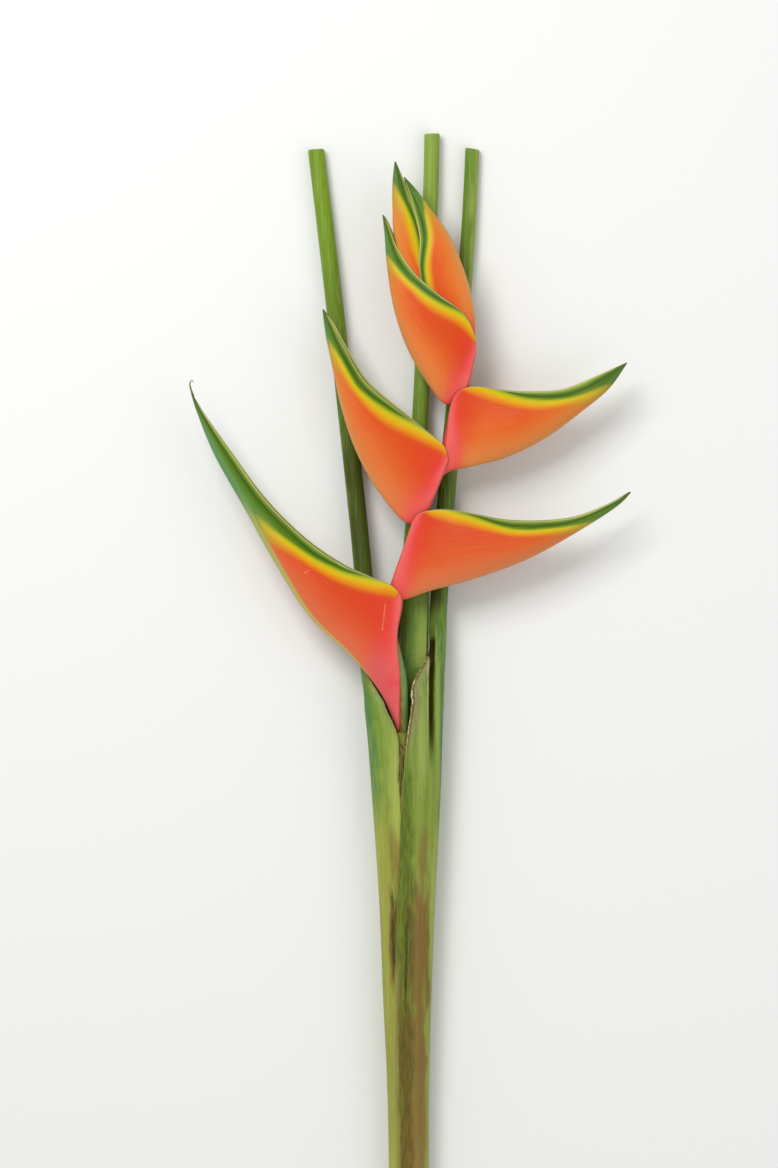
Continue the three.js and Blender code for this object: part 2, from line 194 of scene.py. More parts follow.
# %% Stations of the bracts
BRACT_STATIONS = {
    "bract_1": [
        [-8, -26, -5, 101, 7.8, 1.2, -5, 10],
        [-25, 14, -13, 113, 8.6, 1.1, -3, 12],
        [-51, 47, -34, 121, 11.5, 0.7, 1.6, 11],
        [-90, 84, -59, 131, 14.5, 0.42, 5.6, 8.8],
        [-123, 136, -93, 154, 14.5, 0.3, 10.6, 8.5],
        [-148, 181, -129.5, 190, 11.5, 0.3, 19, 15],
        [-175, 229, -162, 234, 8, 0.32, 34, 16],
        [-191, 268, -185, 267, 3.8, 0.4, 30, 24],
        [-196, 284, -194.5, 284, 0, 0.5, 30, 24],
    ],
    "bract_2": [
        [-17, 113, 1, 164, 7.4, 1.22, -8, 0],
        [-8, 99, 7, 177, 8.6, 1.1, -5, 1],
        [19, 107, 24, 182, 11.5, 0.7, -2.5, 9.5],
        [63, 119, 50, 179, 14.5, 0.42, 2.2, 10],
        [108, 136, 94, 171, 14, 0.3, 8.8, 6.3],
        [153, 161, 145, 173, 9.5, 0.3, 8, 5.5],
        [187, 183, 181, 186, 4.6, 0.4, 16, 8],
        [200, 196, 199, 197, 0, 0.5, 24, 8],
    ],
    "bract_3": [
        [17, 176, 36, 224, 7.4, 1.2, -6, 9],
        [-2, 168, 33, 239, 8.6, 1.1, -4, 10],
        [-28, 197, 12, 255, 11.5, 0.7, 0, 11],
        [-48, 233, -14, 274, 14, 0.42, 5.8, 10.5],
        [-61, 272, -40, 297, 12.5, 0.32, 8.6, 6],
        [-69, 308, -57, 325, 9, 0.32, 9, 7],
        [-75, 337, -69, 347, 5, 0.4, 13, 10],
        [-78, 361, -77, 361, 0, 0.5, 22, 10],
    ],
    "bract_4": [
        [29, 209, 36, 270, 7.4, 1.2, -9, 0],
        [38, 215, 42, 286, 8.6, 1.15, -6, 1.5],
        [62, 220, 57, 293, 11.5, 0.75, -3.5, 10.5],
        [90, 228, 82, 289, 14, 0.42, 1.2, 10.5],
        [124, 245, 108, 287, 13.5, 0.3, 7.5, 9],
        [155, 268, 139, 289, 10, 0.3, 9.5, 6.8],
        [180, 289, 170, 301, 5.5, 0.36, 12, 9],
        [197, 313, 196, 313, 0, 0.5, 22, 9],
    ],
    "bract_5": [
        [52, 281, 61, 323, 7.6, 1.3, -6, 2],
        [33, 275, 60, 337, 9.5, 1.35, -3, 7],
        [17, 293, 51, 357, 14, 1.07, 1.6, 9.5],
        [-2, 326, 28, 374, 16, 0.95, 7, 8.5],
        [-14, 362, 6, 393, 13.5, 0.85, 8.8, 6],
        [-20, 400, -9, 414, 8.5, 0.7, 11.5, 6.5],
        [-22, 427, -18, 434, 4.5, 0.6, 19, 8],
        [-24, 446, -23, 446, 0, 0.5, 22, 6],
    ],
    "bract_6": [
        [57, 314, 46, 320, 6, 1, -2, 6],
        [60, 343, 32, 343, 10, 0.9, 0, 7],
        [57, 370, 16, 370, 13, 0.7, 2.5, 6.5],
        [49, 398, 8, 398, 13, 0.62, 5.5, 6],
        [36, 428, 9, 424, 11, 0.6, 7.5, 5.5],
        [21, 449, 5, 446, 7.5, 0.55, 8.8, 5.5],
        [7, 468, 0, 465, 4, 0.5, 14, 6],
        [-4, 480, -5, 480, 0, 0.5, 22, 6],
    ],
    "bract_7": [
        [44, 332, 50, 340, 3, 0.8, 0, 6],
        [22, 352, 40, 364, 6, 0.7, 0, 7],
        [4, 376, 26, 386, 8, 0.6, 0, 7],
        [-8, 403, 15, 407, 9, 0.5, 1, 8],
        [-14, 430, 10, 430, 8.5, 0.42, 3, 9],
        [-15, 452, 5, 450, 6.5, 0.4, 6, 8],
        [-15, 474, -3, 472, 4, 0.4, 11, 9],
        [-13, 494, -12, 494, 0, 0.5, 20, 9],
    ],
}
# For each bract: how rosy it is, how waxy its keel and from where on, how far the lower margin
# rises past the upper one, and how far the base bows in.
BRACT_TRAITS = {
    "bract_1": (1, 1, 0.42, 1.5, 5),
    "bract_2": (0.75, 0.4, 0.78, 0.8, 0),
    "bract_3": (0.4, 0.8, 0.7, 2.5, 0),
    "bract_4": (0.2, 0.4, 0.8, 0.8, 0),
    "bract_5": (0.25, 0.8, 0.68, 2.5, 0),
    "bract_6": (0, 0.3, 0.8, 1, 0),
    "bract_7": (0, 0.6, 0.76, 1.5, 0),
}
print("stations:", {name: len(stations) for name, stations in BRACT_STATIONS.items()})

# %% [markdown]
# A station is a cross-section. It is roundest at the belly and draws in towards the mouth. The
# skin of a bract goes round once: over the outside from the upper margin to the keel and on to
# the lower margin, then back through the inside of the boat, so that its walls have a thickness.
# Fine veins run along it. They stand out by a tenth of a millimetre, so they are real relief.

# %% Cross-section of a bract
BELLY = 0.45  # the widest place, as a share of the depth from keel to margin
STERN = 0.045  # share of the length in which the base rounds off
HOLLOW = (0.07, 0.86)  # the boat is hollow between these shares of its length
FLOOR = 3  # thickness at the keel
WALL = 1.5  # thickness of the cheeks
RIM = 0.8  # ... and at the margin
VEINS = 13  # veins from keel to margin
SWELL, RIPPLE, VEIN_RELIEF = 0.9, 0.25, 0.1  # heights of the slow, the quick and the fine relief
BOW_LENGTH = 0.2  # share of the length in which the base bows in


def breadth(q, belly, mouth):
    """Half width at share q of the depth, from 0 at the keel to 1 at the margin."""
    if q < BELLY:
        return belly * math.sqrt(1 - (1 - q / BELLY) ** 2)
    return belly * (1 - (1 - mouth) * ((q - BELLY) / (1 - BELLY)) ** 2)


def bow_at(bow, t, q):
    hollow = math.sin(math.pi * clamp((q - 0.4) / 0.6)) ** 2
    return bow * hollow * max(0, 1 - t / BOW_LENGTH) ** 2


def swell(seed, t, q):
    """The slight unevenness of a grown cheek, in mm."""
    slow = noise.noise(Vector((t * 5, q * 1.6, seed)))
    ripple = noise.noise(Vector((t * 16, q * 2.5, seed + 9)))
    veins = noise.noise(Vector((t * 1.5, q * VEINS, seed + 20)))
    return SWELL * slow + RIPPLE * ripple + VEIN_RELIEF * veins * smooth(t, 0.12, 0.4)


def bract_skin(name, seed):
    """The place function of one bract."""
    stations = BRACT_STATIONS[name]
    rosy, waxy, waxy_from, rise, bow = BRACT_TRAITS[name]
    stern = Vector(stations[0][0:2])
    stern_run = (Vector(stations[0][2:4]) - stern).normalized()

    def place(u, v):
        half = u * 2 % 2  # at the end of its way round, the skin is back at its start
        outside = half <= 1
        across = half * 2 - 1 if outside else 3 - half * 2  # -1 upper margin, 0 keel, 1 lower
        t = v**1.3 if outside else blend(*HOLLOW, v)
        row = row_at(stations, t)
        keel, margin = Vector(row[0:2]), Vector(row[2:4])
        belly, mouth, green, yellow = row[4:]
        depth = (margin - keel).length
        q = abs(across) ** 1.6
        belly = max(belly, 0) * (round_off(t, STERN) if outside else 1)
        side = breadth(q, belly, mouth)
        up = (margin - keel).normalized()
        reach = depth * q
        if across > 0:
            grown = smooth(t, 0.1, 0.45) * min(1, breadth(1, belly, mouth) / 2)
            grown *= 1 if outside else min(1, (1 - v) / 0.1)
            reach += rise * q * q * grown
        side += swell(seed, t, q) * min(1, side / 4) * smooth(q, 0, 0.25) * (1 - 0.6 * q)
        if not outside:
            ends = round_off(v, 0.12) * min(1, (1 - v) / 0.3) ** 0.7
            reach = min(FLOOR, depth / 2) * (1 - q) + reach
            side = max(side - blend(WALL, RIM, q**6), 0.25) * min(1, math.sqrt(q / 0.1)) * ends
        y = keel.y + up.y * reach
        x = keel.x + up.x * reach - bow_at(bow, t, q)
        point = Vector((x, y, axis_height(y) - math.copysign(side, across)))
        measures = {
            "along": t,
            "edge": depth * (1 - q),
            "keel": depth * q,
            "green": green,
            "yellow": yellow,
            "rosy": rosy * (1 - 0.3 * t),
            "waxy": waxy * smooth(t, waxy_from, waxy_from + 0.2),
            "stern": abs((keel.lerp(margin, q) - stern).cross(stern_run)),
            "inside": 0 if outside else 1,
        }
        return point, measures

    return place


# %% [markdown]
# ## The leaf stalks
# Each leaf begins as a sheath that wraps the stem, with one open side, and closes into a round
# stalk further up. A row holds: y, centre x and z, half axes across and up, the angles that its
# outside spans (0 along +X, 90 up), its thickness, how far the open side is filled and, on the
# right one, the depth and angle of a dip.

# %% Stations of the leaf stalks
LEAF_STALKS = {
    "leaf_stalk_right": [
        [-540, 0.5, 16.1, 17, 17, -118, 128, 3, 0, 0, 43],
        [-430, 0, 18.7, 17.8, 17.7, -118, 130, 3, 0, 0, 43],
        [-337, -0.7, 20.9, 19.1, 18.5, -116, 131, 3, 0, 0, 43],
        [-261, -1.5, 22.7, 21.9, 19, -114, 123, 3, 0, 0, 43],
        [-171, -1.8, 24.9, 25.6, 19.5, -112, 111, 3.2, 0, 0, 43],
        [-81, -2.9, 27, 31.3, 20, -108, 98, 4, 0, 0.3, 43],
        [-27, -4, 28.3, 34.2, 20, -100, 88, 6, 0, 1.5, 44],
        [9, -4.5, 28.5, 36, 19, -90, 80, 10, 0.1, 3.5, 48],
        [31, 14.3, 27, 18, 14, -85, 115, 10, 0.35, 3.5, 70],
        [50, 24.6, 25, 8.8, 9, -60, 150, 6, 0.8, 0, 90],
        [72, 26.1, 22.5, 7.9, 7.9, -60, 150, 5, 1, 0, 90],
        [103, 27.3, 20, 7.8, 7.8, -60, 150, 5, 1, 0, 90],
        [198, 34.2, 16.7, 8.1, 8.1, -60, 150, 5, 1, 0, 90],
        [393, 51, 9.8, 6.6, 6.6, -60, 150, 5, 1, 0, 90],
        [520, 58, 5.4, 6.3, 6.3, -60, 150, 5, 1, 0, 90],
    ],
    "leaf_stalk_left": [
        [-540, 0.5, 16.1, 17, 15.7, 60, 300, 6, 0],
        [-430, 0, 18.7, 17.8, 16.4, 60, 300, 6, 0],
        [-337, -0.7, 20.9, 19.1, 17.2, 62, 300, 6, 0],
        [-261, -1.5, 22.7, 21.9, 17.7, 70, 300, 6, 0],
        [-171, -1.8, 24.9, 25.2, 18.2, 85, 295, 6, 0],
        [-81, -2.9, 27, 30.4, 18.7, 98, 290, 6, 0],
        [-27, -4, 28, 33.3, 18.7, 98, 280, 7, 0],
        [0, -15.7, 27.5, 24.3, 17.5, 99.5, 290, 9, 0.1],
        [14, -26.3, 26.5, 14.4, 13.5, 91, 320, 9, 0.25],
        [28, -32.2, 25, 10.4, 10.2, 108, 335, 7, 0.5],
        [42, -36, 23.5, 8.4, 8.6, 150, 345, 6, 0.85],
        [60, -37, 22, 8.4, 8.3, 150, 360, 5, 1],
        [153, -43.8, 18.9, 8.3, 8.3, 150, 360, 5, 1],
        [359, -66.4, 11.9, 7.9, 7.9, 150, 360, 5, 1],
        [520, -85.6, 6.6, 7.4, 7.4, 150, 360, 5, 1],
    ],
    "leaf_stalk_middle": [
        [-540, 0.5, 16.1, 10.6, 10.6, 100, 440, 2.4, 0],
        [-430, 0, 18.7, 11.4, 11.2, 100, 440, 3, 0],
        [-337, -0.7, 20.9, 12.6, 12, 100, 440, 3.6, 0],
        [-261, -1.5, 22.7, 15.4, 12.2, 100, 440, 4, 0],
        [-171, -1.8, 24.7, 18.5, 12.6, 115, 425, 5, 0],
        [-81, -2.9, 26.5, 22, 13, 130, 410, 6, 0],
        [-27, -1, 26, 20, 13, 140, 400, 6, 0],
        [18, 1.8, 24, 15, 11, 150, 390, 6, 0.3],
        [63, 3.6, 21.5, 13.7, 9.5, 150, 390, 5, 0.7],
        [99, 4.1, 20.3, 13.7, 9, 150, 390, 5, 0.85],
        [160, 6, 18.7, 10, 8.2, 150, 390, 5, 1],
        [210, 8, 17.3, 8, 7.6, 150, 390, 5, 1],
        [286, 11.2, 15.3, 7.2, 7.2, 150, 390, 5, 1],
        [446, 18.9, 11, 7, 7, 150, 390, 5, 1],
        [530, 21, 8.7, 6.9, 6.9, 150, 390, 5, 1],
    ],
}
# The square cuts: y of the foot, x and y of the upper end on the axis, and its lean in degrees.
# The foot's cuts differ by a hair, so the sheaths show one inside the other. The last number says
# how dry and ragged the sheath's upper margin is.
STALK_CUTS = {
    "leaf_stalk_right": (-520, 57, 506.5, 9, 1),
    "leaf_stalk_left": (-519.7, -84, 506, -4, 0.3),
    "leaf_stalk_middle": (-519.4, 20.7, 520, -2, 0),
}
SHEATH_EDGE = 1.1  # thickness of a sheath at its margins
DRY_FROM, DRY_TO = (-60, 0), (58, 50)  # y between which a dry margin sets in, and ends
DIP_SPREAD = 13  # in degrees
STALK_ROWS = 150
print("leaf stalks:", list(LEAF_STALKS))

# %% [markdown]
# Sheaths and stalks carry marks: a bluish side, brown bruises, dark specks and scars, and painted
# light: the pale strips are painted highlights where light falls on a stalk, and shade is painted
# shade where a stalk lies in the shade of the bracts and of the sheath's edge. A mark follows an
# angle round the stalk and fades at both ends, so the skin can carry it as a measure. The material
# then breaks its edge up with noise. One mark goes by its place instead: the narrow gap where the
# right sheath's edge stands off its own stalk, painted dark as its shadow, with a painted highlight
# on the lit lip beside it.

# %% Marks on the leaf stalks
MARKS = ["cool", "pale", "bruise", "soot", "scar", "shade"]
# Each mark: angle and half width in degrees, y of its upper and lower end, and how far it fades.
STALK_MARKS = {
    "leaf_stalk_right": {
        "cool": [(0, 50, 210, 70, 30)],
        "pale": [(20, 70, 900, 160, 120), (22, 16, -85, -250, 40)],
        "bruise": [(57, 15, -88, -185, 46), (60, 40, -118, -900, 60), (92, 28, -225, -900, 100)],
        "soot": [(98, 30, -20, -900, 60)],
        "scar": [(92, 5, -165, -290, 50)],
        "shade": [(120, 70, 170, 60, 40)],
    },
    "leaf_stalk_left": {
        "cool": [(174, 54, 90, -125, 70)],
        "pale": [(108, 20, 20, -150, 70)],
        "bruise": [(113, 16, -90, -180, 38), (119, 21, -130, -275, 60)],
        "soot": [(110, 12, -130, -330, 60)],
        "scar": [(123, 7, -150, -262, 40)],
        "shade": [(60, 120, 290, 60, 90)],
    },
    "leaf_stalk_middle": {
        "cool": [(160, 90, 130, -200, 130)],
        "pale": [(56, 34, 110, -20, 50)],
        "shade": [(150, 62, 200, -900, 160)],
    },
}
GAP_X, GAP_DEPTH = 20.8, 2.2  # where the narrow gap runs
LIP_X = 17.2  # ... and the sheath's lit lip beside it
# Low on the right stalk the same marks are straight stripes, so x stands in place of the angle.
# There the bluish and pale stripes are painted highlights on the lit stalk, and the shade stripe
# is painted shade beside the gap.
STRIPES = {
    "cool": [(28.5, 3.5, 100, -120, 40)],
    "pale": [(12.4, 5, 50, -90, 50), (26.5, 2.5, 70, -110, 50)],
    "shade": [(GAP_X, 3.8, 100, -60, 50)],
}


def mark_at(marks, turn, y, drifting=1):
    """How strong a mark is, from 0 to 1. Its middle line drifts a little to both sides."""
    strongest = 0
    for centre, half, upper, lower, run in marks:
        drift = 0.45 * half * noise.noise(Vector((y / 34, centre, 0)))
        drift += 0.25 * half * noise.noise(Vector((y / 13, centre, 8)))
        away = abs((turn - centre - drift * drifting + 180) % 360 - 180)
        ends = smooth(y, upper, upper - run) * smooth(y, lower, lower + run)
        strongest = max(strongest, smooth(away, half, half * 0.4) * ends)
    return strongest


print("bruise on top of the right sheath:", mark_at(STALK_MARKS["leaf_stalk_right"]["bruise"], 60, -200))


# %% Cross-section of a leaf stalk
def share_at(rows, y):
    """The share along the rows at which their first number is y."""
    low, high = 0.0, 1.0
    for _ in range(40):
        middle = (low + high) / 2
        low, high = (middle, high) if row_at(rows, middle)[0] < y else (low, middle)
    return low


def gap_at(x, y, turn):
    """The gap between the right sheath's edge and its stalk: 1 in its middle, -1 on its lit lip."""
    above_lip = smooth(y, 42, 50)
    if math.sin(math.radians(turn)) < blend(0.2, -0.3, above_lip):
        return 0
    ends = smooth(y, 68, 60) * smooth(y, -66, 5)
    lip = smooth(abs(x - LIP_X), 1.3, 0.3) * smooth(y, 52, 40)
    away = abs(x - GAP_X) * (1 - 0.6 * above_lip if x < GAP_X else 1)
    return (smooth(away, 3.0, 1.2) - lip) * ends


def fray_at(y, seed):
    """How far a dried margin is torn in or out, in mm."""
    wide, narrow = Vector((y / 5, seed, 0)), Vector((y / 2.2, seed, 5))
    return 1.2 * noise.noise(wide) + 0.7 * noise.noise(narrow)


CROWDING = 0.85  # how far the row beside a square cut moves towards it, as a share of its length


def between_cuts(v, cap):
    """The share of the way from cut to cut. The row beside each keeps close, so its edge is crisp."""
    step = cap / (1 - 2 * cap)
    share = clamp((v - cap) / (1 - 2 * cap))
    beside = max(0, 1 - abs(share - step) / step) - max(0, 1 - abs(1 - share - step) / step)
    return share - CROWDING * step * beside


def stalk_skin(name):
    """The place function of one leaf stalk."""
    rows, is_right = LEAF_STALKS[name], name == "leaf_stalk_right"
    foot_y, end_x, end_y, lean, dryness = STALK_CUTS[name]
    first, last = share_at(rows, foot_y), share_at(rows, end_y)
    tilt = math.tan(math.radians(lean))
    cap = 1 / STALK_ROWS  # the first and the last strip of the sheet are the cut faces

    def place(u, v):
        t = blend(first, last, between_cuts(v, cap))
        y, x, z, wide, high, start, stop, thick, fill, *dips = row_at(rows, t)
        dip, dip_at = dips or (0, 0)
        fill = clamp(fill)
        half = u * 2 % 2
        outside = half <= 1
        share = half if outside else 2 - half
        size = (wide + high) / 2 * math.radians(stop - start)
        upper_margin = share if math.sin(math.radians(start)) > math.sin(math.radians(stop)) else 1 - share
        turn = blend(start, stop, share)
        front = stop + (start + 360 - stop) * (1 - share)
        wall = blend(SHEATH_EDGE, thick, max(math.sin(math.pi * share), 0) ** 0.7)
        notch = dip * math.exp(-(((turn - dip_at) / DIP_SPREAD) ** 2))
        seen = turn if outside or fill < 0.5 else front
        sunk_x = x + (wide - notch) * math.cos(math.radians(seen))
        gap = gap_at(sunk_x, y, seen) if is_right and (outside or fill >= 0.5) else 0
        notch += GAP_DEPTH * max(gap, 0) * smooth(sunk_x, 17.5, 19)
        dry = dryness * smooth(y, *DRY_FROM) * smooth(y, *DRY_TO)
        torn = dry * smooth(upper_margin * size, 5, 0)
        ridge = 0.14 * noise.noise(Vector((turn / 7, y / 160, end_x)))

        def at(degrees, inset):
            bend = math.radians(degrees) + torn * fray_at(y, 1) / wide
            inset -= torn * fray_at(y, 40) + ridge
            return Vector((x + (wide - inset) * math.cos(bend), y, z + (high - inset) * math.sin(bend)))

        middle = v in (0, 1)
        if middle and fill < 0.5:
            point = at(turn, wall / 2)
        elif middle:
            point = Vector((x, y, z))
        elif outside:
            point = at(turn, notch)
        else:
            point = at(turn, wall).lerp(at(front, 0), fill)
        point.y -= tilt * (point.x - end_x) * smooth(t, last - 0.02, last)
        point.z = max(point.z, 0)
        measures = {key: mark_at(STALK_MARKS[name].get(key, []), seen, y) for key in MARKS}
        if is_right and math.sin(math.radians(seen)) > 0:
            for key, mark in STRIPES.items():
                measures[key] = max(measures[key], mark_at(mark, point.x, y, 0))
        measures["edge"] = min(share, 1 - share) * size + 40 * smooth(fill, 0.72, 0.9)
        measures["dry"] = dry * smooth(upper_margin * size, 13, 5)
        measures["gap"] = gap
        measures["inside"] = 0 if outside else 1 - smooth(fill, 0, 0.1)
        measures["cut"] = 1 if min(v, 1 - v) < 1.5 * cap else 0
        return point, measures

    return place


# %% [markdown]
# ## The flower stalk
# One round stalk runs from the cut foot up through the sheaths. Inside the flower head it bends
# left and right from bract to bract. Each row holds x, y and its radius. The same way of making a
# round skin serves the thin dried fibres further down.

# %% Stations of the flower stalk
FLOWER_STALK = [
    [0, -519.1, 7.9],
    [-1, -337, 7.6],
    [-2, -261, 7.4],
    [-2, -126, 6.8],
    [-4, -81, 6.2],
    [-5, -45, 5.4],
    [-5, -9, 5],
    [-6, 22, 4.9],
    [-10, 44, 4.8],
    [-15, 66, 4.7],
    [-15, 86, 4.6],
    [-11, 106, 4.6],
    [-3, 132, 4.6],
    [4, 158, 4.6],
    [12, 182, 4.6],
    [22, 205, 4.5],
    [32, 228, 4.5],
    [37, 250, 4.4],
    [42, 275, 4.3],
    [50, 297, 4.2],
    [54, 318, 3.6],
    [50, 340, 2],
]
ROUND_ROWS = 110


def round_skin(rows, unevenness=0.02):
    """The place function of a round stalk or fibre: rows of x, y, z and radius."""
    cap = 1 / ROUND_ROWS

    def place(u, v):
        share = between_cuts(v, cap)
        x, y, z, radius = row_at(rows, share)
        ahead = Vector(row_at(rows, min(share + 0.01, 1))[:3])
        run = (ahead - Vector(row_at(rows, max(share - 0.01, 0))[:3])).normalized()
        sideways = Vector((run.y, -run.x, 0)).normalized()
        upward = sideways.cross(run)
        turn = 2 * math.pi * u
        grain = 1 + unevenness * noise.noise(Vector((math.cos(turn) * 2, math.sin(turn) * 2, y / 60)))
        reach = 0 if v in (0, 1) else radius * grain
        point = Vector((x, y, z)) + sideways * (reach * math.cos(turn)) + upward * (reach * math.sin(turn))
        return point, {"side": math.cos(turn), "cut": 1 if min(v, 1 - v) < 1.5 * cap else 0}

    return place


print("the flower stalk has", len(FLOWER_STALK), "stations")


# %% [markdown]
# ## Building materials
# A material is a small network of nodes. Each helper here adds one node, fills its inputs and hands
# back its result, so that every finish below reads like a recipe. A result knows which network it
# belongs to. Colours are given the usual way, from 0 to 255, and are turned into the light values
# that a renderer works with.


# %% Helpers that build node networks
def colour(red, green, blue):
    """A screen colour as the renderer's light values."""
    parts = [c / 255 for c in (red, green, blue)]
    return [c / 12.92 if c <= 0.04045 else ((c + 0.055) / 1.055) ** 2.4 for c in parts] + [1]


def add_node(source, kind, inputs=None, result=0, **settings):
    """Adds a node to the network of its source. An input is a number, a colour or a result."""
    tree = source.id_data
    node = tree.nodes.new(kind)
    for key, value in settings.items():
        setattr(node, key, value)
    for key, value in (inputs or {}).items():
        if isinstance(value, bpy.types.NodeSocket):
            tree.links.new(value, node.inputs[key])
        else:
            node.inputs[key].default_value = value
    return node.outputs[result]


def object_place(shader):
    return add_node(shader, "ShaderNodeTexCoord", result="Object")


def measure(shader, *names):
    """One or more of the measures that a skin's corners carry."""
    found = [add_node(shader, "ShaderNodeAttribute", result="Fac", attribute_name=n) for n in names]
    return found if len(found) > 1 else found[0]


# %% Sums, fades and colours
def maths(operation, a, b=0):
    return add_node(a, "ShaderNodeMath", {0: a, 1: b}, operation=operation)


plus, minus, over, least, most = (
    partial(maths, name) for name in ("ADD", "SUBTRACT", "DIVIDE", "MINIMUM", "MAXIMUM")
)


def times(value, *others):
    for other in others:
        value = maths("MULTIPLY", value, other)
    return value


def fade(value, start, end, low=0, high=1):
    """low where value is at start, high where it is at end, with a soft change between."""
    inputs = {"Value": value, "From Min": start, "From Max": end, "To Min": low, "To Max": high}
    return add_node(value, "ShaderNodeMapRange", inputs, interpolation_type="SMOOTHSTEP")


def mix(share, a, b):
    return add_node(share, "ShaderNodeMix", {0: share, 6: a, 7: b}, 2, data_type="RGBA")


def tint(skin, shade, *strengths):
    """Lays a shade over a skin, as strongly as the product of the strengths."""
    return mix(times(*strengths), skin, colour(*shade))


def ramp(value, *stops):
    """A colour picked from stops of (value, colour)."""
    start, end = stops[0][0], stops[-1][0]
    node = value.id_data.nodes.new("ShaderNodeValToRGB")
    elements = node.color_ramp.elements
    while len(elements) < len(stops):
        elements.new(0.5)
    for element, (place, shade) in zip(elements, stops):
        element.position, element.color = (place - start) / (end - start), colour(*shade)
    inputs = {"Value": value, "From Min": start, "From Max": end}
    node.id_data.links.new(add_node(node, "ShaderNodeMapRange", inputs), node.inputs[0])
    return node.outputs[0]


# %% Patterns and relief
def clouds(place, scale, detail=2):
    return add_node(place, "ShaderNodeTexNoise", {0: place, "Scale": scale, "Detail": detail})


def stretched(place, scale):
    return add_node(place, "ShaderNodeMapping", {"Vector": place, "Scale": scale})


def coordinate(place, axis):
    return add_node(place, "ShaderNodeSeparateXYZ", {0: place}, axis)


def effect(group, result, place, **inputs):
    """One result of a node group."""
    inputs["Vector"] = place
    return add_node(place, "ShaderNodeGroup", inputs, result, node_tree=group)


def bump(height, strength, distance=0.4):
    inputs = {"Height": height, "Strength": strength, "Distance": distance * MM}
    return add_node(height, "ShaderNodeBump", inputs, "Normal")


# %% A new material and what its shader is fed with
def new_material(name, **shader_values):
    """A material and its Principled shader."""
    material = bpy.data.materials.new(name)
    material.use_nodes = True
    shader = material.node_tree.nodes["Principled BSDF"]
    for key, value in shader_values.items():
        shader.inputs[key.replace("_", " ")].default_value = value
    return material, shader


def feed(shader, **results):
    for key, value in results.items():
        shader.id_data.links.new(value, shader.inputs[key.replace("_", " ")])


print("a mid green as light:", [round(c, 3) for c in colour(100, 140, 50)])

# %% [markdown]
# Three effects are needed in more than one material, so each is a node group. Grain gives the fine
# lengthwise fibres of a stalk or bract, freckles a scatter of small dark specks, and bruises a
# blotch with an uneven edge wherever its amount is high.


# %% Shared effects: grain, freckles and bruises
def new_group(name, **numbers):
    """A node group and what it is given: a vector and the named numbers."""
    tree = bpy.data.node_groups.new(name, "ShaderNodeTree")
    tree.interface.new_socket("Vector", in_out="INPUT", socket_type="NodeSocketVector")
    for label, value in numbers.items():
        socket = tree.interface.new_socket(label, in_out="INPUT", socket_type="NodeSocketFloat")
        socket.default_value = value
    return tree, tree.nodes.new("NodeGroupInput").outputs


def hand_back(tree, **results):
    """Gives a node group its results."""
    for label in results:
        tree.interface.new_socket(label, in_out="OUTPUT", socket_type="NodeSocketFloat")
    end = tree.nodes.new("NodeGroupOutput")
    for label, value in results.items():
        tree.links.new(value, end.inputs[label])


grain_group, given = new_group("grain", Fineness=900)
fibre = clouds(given["Vector"], given["Fineness"], 3)
cloud = clouds(given["Vector"], times(given["Fineness"], 0.12))
hand_back(grain_group, Fibre=fibre, Cloud=cloud)

freckle_group, given = new_group("freckles", Scale=160, Size=0.1)
cells = {"Vector": given["Vector"], "Scale": given["Scale"]}
distance = add_node(freckle_group, "ShaderNodeTexVoronoi", cells, "Distance")
reach = times(given["Size"], fade(clouds(given["Vector"], 30), 0.5, 0.72))
hand_back(freckle_group, Mask=fade(minus(reach, distance), -0.02, 0.03))

bruise_group, given = new_group("bruises", Scale=60, Amount=0, Patchiness=2)
unevenness = minus(clouds(given["Vector"], given["Scale"], 5), 0.5)
raised = plus(given["Amount"], times(unevenness, given["Patchiness"]))
hand_back(bruise_group, Mask=times(fade(raised, 0.1, 0.95), fade(given["Amount"], 0, 0.4)))
print("node groups:", [group.name for group in bpy.data.node_groups])

# %% [markdown]
# ## The skin of a bract
# A bract is painted in bands that follow its margin: a pale rim, a green band that is darkest a
# few millimetres in, lime, yellow, and then a deep orange-red that pales towards the keel. Near
# the tip the green takes the whole width, and the base turns red and then pink. All of this is
# read from the measures that the skin carries, so the colours follow the form on every side.

# %% Bract material: the bands along the margin
bract_material, shader = new_material("bract_skin", Specular_IOR_Level=0.2)
place = object_place(shader)
along, keel, straight_edge, rosy, waxy = measure(shader, "along", "keel", "edge", "rosy", "waxy")
band_start = measure(shader, "green")  # below 0 where the yellow band has no green outside it
cloud = clouds(place, 26, 3)
wobble = times(minus(cloud, 0.5), 2)
edge = plus(straight_edge, wobble)
green_width = most(band_start, 0.25)
yellow_width = most(times(measure(shader, "yellow"), fade(along, 0.03, 0.12)), 0.4)

depth = plus(plus(keel, straight_edge), 0.1)
green_scale = least(least(green_width, 9), plus(times(depth, 0.4), 0.8))
into_green = over(edge, green_scale)
green = ramp(
    into_green,
    (0, (176, 190, 110)),
    (0.16, (136, 162, 66)),
    (0.4, (88, 126, 30)),
    (0.62, (44, 84, 4)),
    (0.84, (64, 108, 8)),
    (1.2, (74, 118, 18)),
    (1.6, (92, 134, 56)),
)
beyond_green = over(minus(edge, band_start), yellow_width)
yellow = ramp(
    beyond_green,
    (-0.2, (92, 122, 16)),
    (0, (128, 142, 10)),
    (0.13, (160, 166, 12)),
    (0.27, (186, 180, 8)),
    (0.42, (204, 178, 2)),
    (0.6, (214, 166, 0)),
    (0.8, (216, 148, 0)),
    (1, (215, 126, 2)),
    (1.2, (212, 102, 6)),
    (1.4, (208, 80, 10)),
    (1.7, (206, 70, 12)),
)

